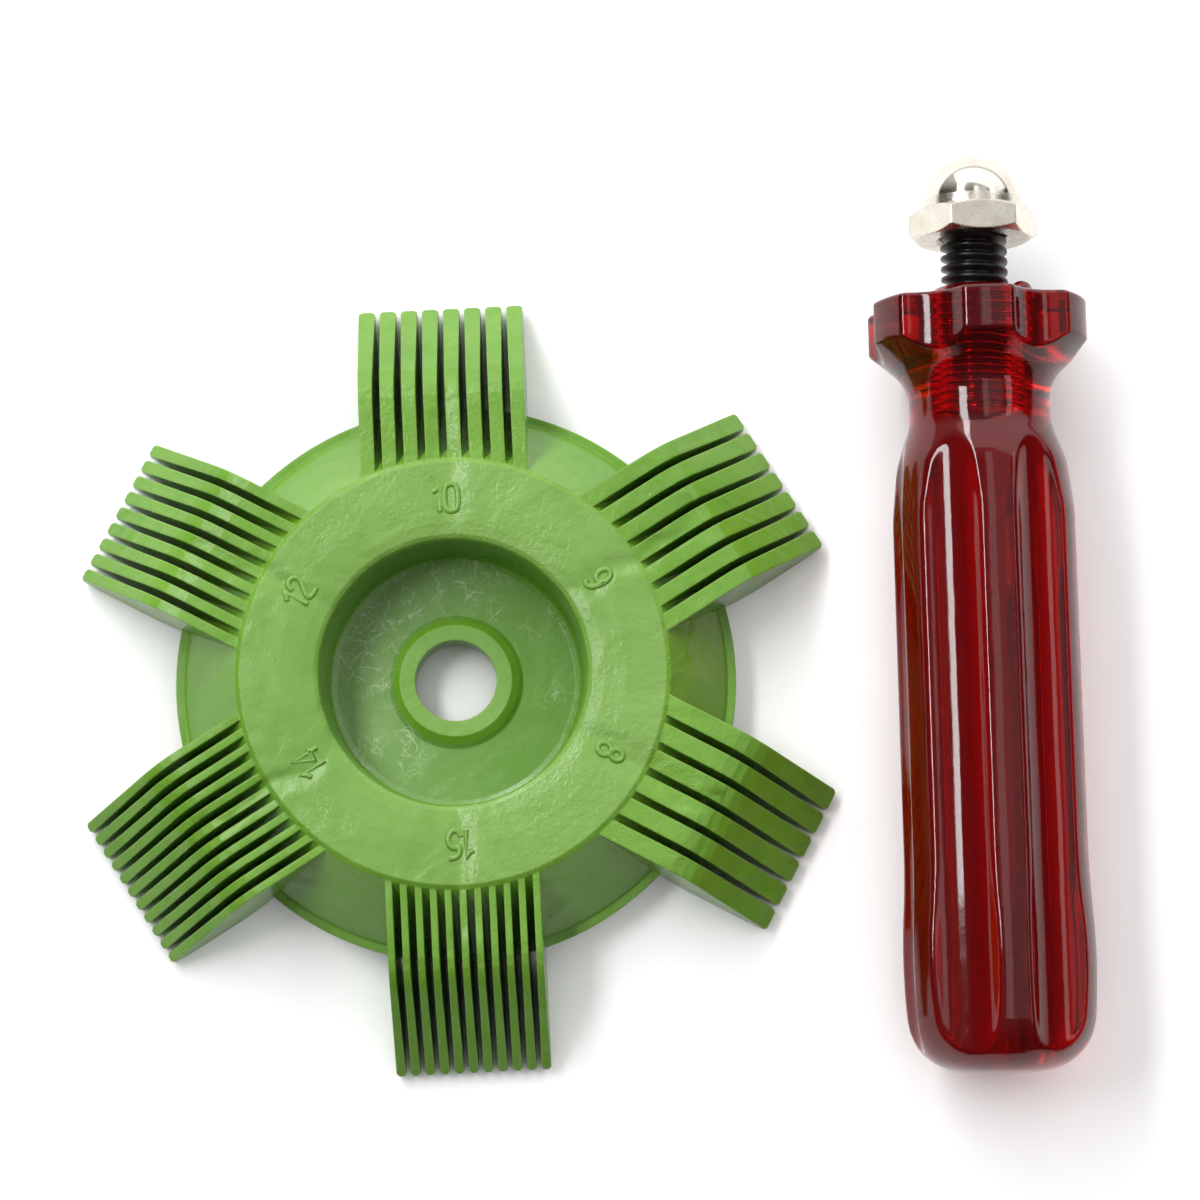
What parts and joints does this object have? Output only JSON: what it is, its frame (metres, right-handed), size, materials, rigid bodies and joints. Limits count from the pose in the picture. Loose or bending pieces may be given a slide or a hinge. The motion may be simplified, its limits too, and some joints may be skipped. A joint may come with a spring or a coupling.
{
  "type": "air conditioner fin comb",
  "caption": "Fin comb for straightening cooler fins: a green comb wheel whose arms have teeth of different pitches, beside its taken-off red handle with a threaded stud and a domed nut.",
  "frame": {"origin": "centre of the hub bore at the hub's upper face", "axes": "+Z along the hub bore, out of the recess; +Y roughly towards the coarse arm of ten fins to the inch and along the handle from butt to nut; +X from the wheel towards the handle"},
  "size_m": [0.1183, 0.1072, 0.0261],
  "materials": {
    "wheel": "satin green moulded plastic",
    "handle": "glossy translucent dark red plastic",
    "stud": "blackened steel thread",
    "nut": "bright nickel plating"
  },
  "bodies": {
    "tool": {"comb_wheel": "wheel", "handle": "handle", "threaded_stud": "stud"},
    "nut": {"acorn_nut": "nut"}
  },
  "joints": [
    {"name": "nut_turn", "type": "hinge", "parent": "tool", "child": "nut", "pos_m": [0.06086, 0.05115, 0.0079], "axis": [-0.0218, 0.9995, 0.0235], "range_deg": [-180, 180]}
  ]
}
